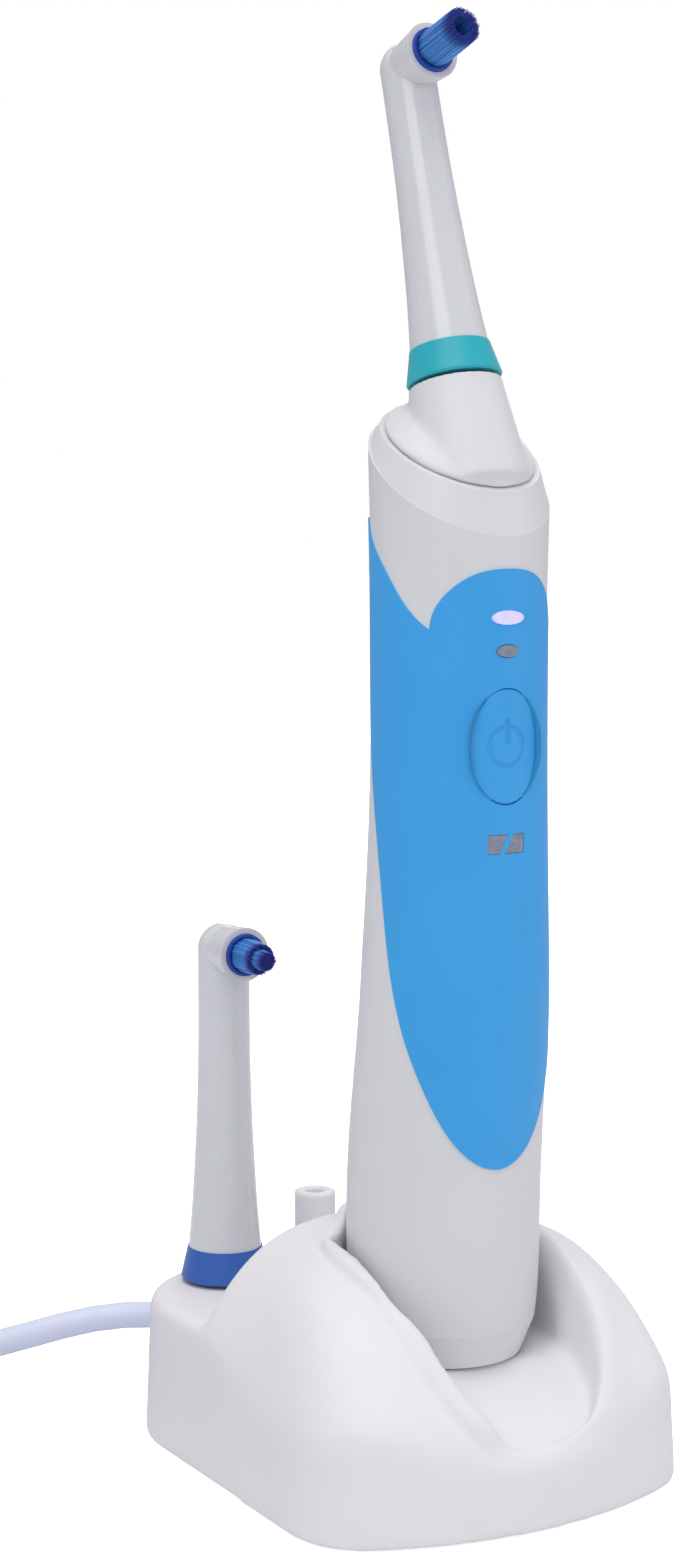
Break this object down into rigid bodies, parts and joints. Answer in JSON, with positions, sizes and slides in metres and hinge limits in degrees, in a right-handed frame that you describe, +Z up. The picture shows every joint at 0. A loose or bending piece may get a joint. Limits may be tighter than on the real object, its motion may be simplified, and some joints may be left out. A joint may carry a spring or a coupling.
{
  "type": "electric toothbrush on charger",
  "caption": "Electric toothbrush with a leaning rotary single-tuft head, standing in a low charging stand with pegs, a spare brush head and a mains cord.",
  "frame": {"origin": "middle of the stand's underside, on the surface it stands on", "axes": "+Z up, -Y towards the side with the button, the left and right halves mirror each other in X apart from the spare head and the cord"},
  "size_m": [0.182, 0.1478, 0.2708],
  "materials": {
    "white_shell": "fine matte white plastic",
    "white_body": "satin white plastic",
    "head_white": "glossy slightly translucent white plastic",
    "grip_blue": "soft sky-blue elastomer",
    "ring_teal": "satin teal",
    "ring_blue": "satin mid blue",
    "holder_blue": "dark blue",
    "bristle_blue": "fine nylon filaments, dark blue at the tips",
    "cord_white": "cool white cord sheath",
    "seal_rubber": "black seal rubber",
    "foot_rubber": "grey rubber",
    "steel": "plain steel",
    "brass": "sintered brass",
    "copper": "enamelled copper winding",
    "ferrite": "ferrite",
    "board": "green circuit board",
    "dark_plastic": "black plastic",
    "cell": "green sleeved rechargeable cell",
    "gear_plastic": "natural acetal",
    "window_lit": "clear window, lit lavender white",
    "window_grey": "clear grey window"
  },
  "bodies": {
    "stand": {"stand_housing": "white_shell", "stand_base_plate": "white_shell", "rubber_foot_1": "foot_rubber", "rubber_foot_2": "foot_rubber", "rubber_foot_3": "foot_rubber", "rubber_foot_4": "foot_rubber", "base_screw_1": "steel", "base_screw_2": "steel", "base_screw_3": "steel", "base_screw_4": "steel", "charger_board": "board", "ferrite_core": "ferrite", "primary_coil": "copper", "board_capacitor": "dark_plastic", "board_transformer": "dark_plastic", "cord_strain_relief": "cord_white", "mains_cord": "cord_white", "cord_coil": "cord_white", "cord_tail": "cord_white", "plug_body": "white_shell", "plug_pin_left": "steel", "plug_pin_right": "steel"},
    "handle": {"handle_housing": "white_body", "grip_cover": "grip_blue", "led_window_upper": "window_lit", "led_window_lower": "window_grey", "battery_window_left": "window_grey", "battery_window_right": "window_grey", "control_board": "board", "tact_switch": "dark_plastic", "led_upper": "window_lit", "led_lower": "window_grey", "battery": "cell", "battery_chassis": "dark_plastic", "battery_contact_lower": "steel", "battery_contact_upper": "steel", "bottom_cap": "white_body", "cap_seal": "seal_rubber", "coil_bobbin": "dark_plastic", "receiving_coil": "copper", "nose_cone": "white_body", "spindle_bushing": "brass", "shaft_seal": "seal_rubber", "motor_can": "steel", "gear_plate": "dark_plastic"},
    "button": {"power_button": "grip_blue"},
    "motor_rotor": {"motor_shaft": "steel", "motor_pinion": "brass"},
    "spindle": {"drive_spindle": "steel", "spindle_gear": "gear_plastic"},
    "fitted_head": {"fitted_stem": "head_white", "fitted_ring": "ring_teal"},
    "fitted_shaft": {"fitted_shaft": "gear_plastic"},
    "fitted_tuft": {"fitted_tuft_holder": "holder_blue", "fitted_bristles": "bristle_blue"},
    "spare_head": {"spare_stem": "head_white", "spare_ring": "ring_blue"},
    "spare_shaft": {"spare_shaft": "gear_plastic"},
    "spare_tuft": {"spare_tuft_holder": "holder_blue", "spare_bristles": "bristle_blue"}
  },
  "joints": [
    {"name": "handle_lift", "type": "slide", "parent": "stand", "child": "handle", "axis": [0, 0, 1], "range_m": [0, 0.12]},
    {"name": "button_press", "type": "slide", "parent": "handle", "child": "button", "axis": [0, 1, 0], "range_m": [0, 0.0008], "stiffness_N_per_m": 800},
    {"name": "motor_spin", "type": "hinge", "parent": "handle", "child": "motor_rotor", "pos_m": [0, -0.01262, 0.20294], "axis": [0, 0.279, 0.9603], "continuous": true},
    {"name": "spindle_spin", "type": "hinge", "parent": "handle", "child": "spindle", "pos_m": [0, -0.018, 0.2045], "axis": [0, 0.279, 0.9603], "continuous": true},
    {"name": "head_pull", "type": "slide", "parent": "handle", "child": "fitted_head", "axis": [0, 0.279, 0.9603], "range_m": [0, 0.04]},
    {"name": "fitted_shaft_spin", "type": "hinge", "parent": "fitted_head", "child": "fitted_shaft", "pos_m": [0, -0.018, 0.2045], "axis": [0, 0.279, 0.9603], "continuous": true},
    {"name": "fitted_tuft_spin", "type": "hinge", "parent": "fitted_head", "child": "fitted_tuft", "pos_m": [0, -0.00134, 0.26183], "axis": [0, -0.9603, 0.279], "continuous": true},
    {"name": "spare_head_lift", "type": "slide", "parent": "stand", "child": "spare_head", "axis": [0, 0, 1], "range_m": [0, 0.05]},
    {"name": "spare_shaft_spin", "type": "hinge", "parent": "spare_head", "child": "spare_shaft", "pos_m": [-0.0195, 0.0355, 0.02895], "axis": [0, 0, 1], "continuous": true},
    {"name": "spare_tuft_spin", "type": "hinge", "parent": "spare_head", "child": "spare_tuft", "pos_m": [-0.0195, 0.0355, 0.09525], "axis": [0, -1, 0], "continuous": true}
  ],
  "couplings": [
    {"joint": "spindle_spin", "follows": "motor_spin", "ratio": -0.55556},
    {"joint": "fitted_shaft_spin", "follows": "motor_spin", "ratio": -0.55556},
    {"joint": "fitted_tuft_spin", "follows": "motor_spin", "ratio": -0.55556},
    {"joint": "spare_tuft_spin", "follows": "spare_shaft_spin", "ratio": 1}
  ]
}
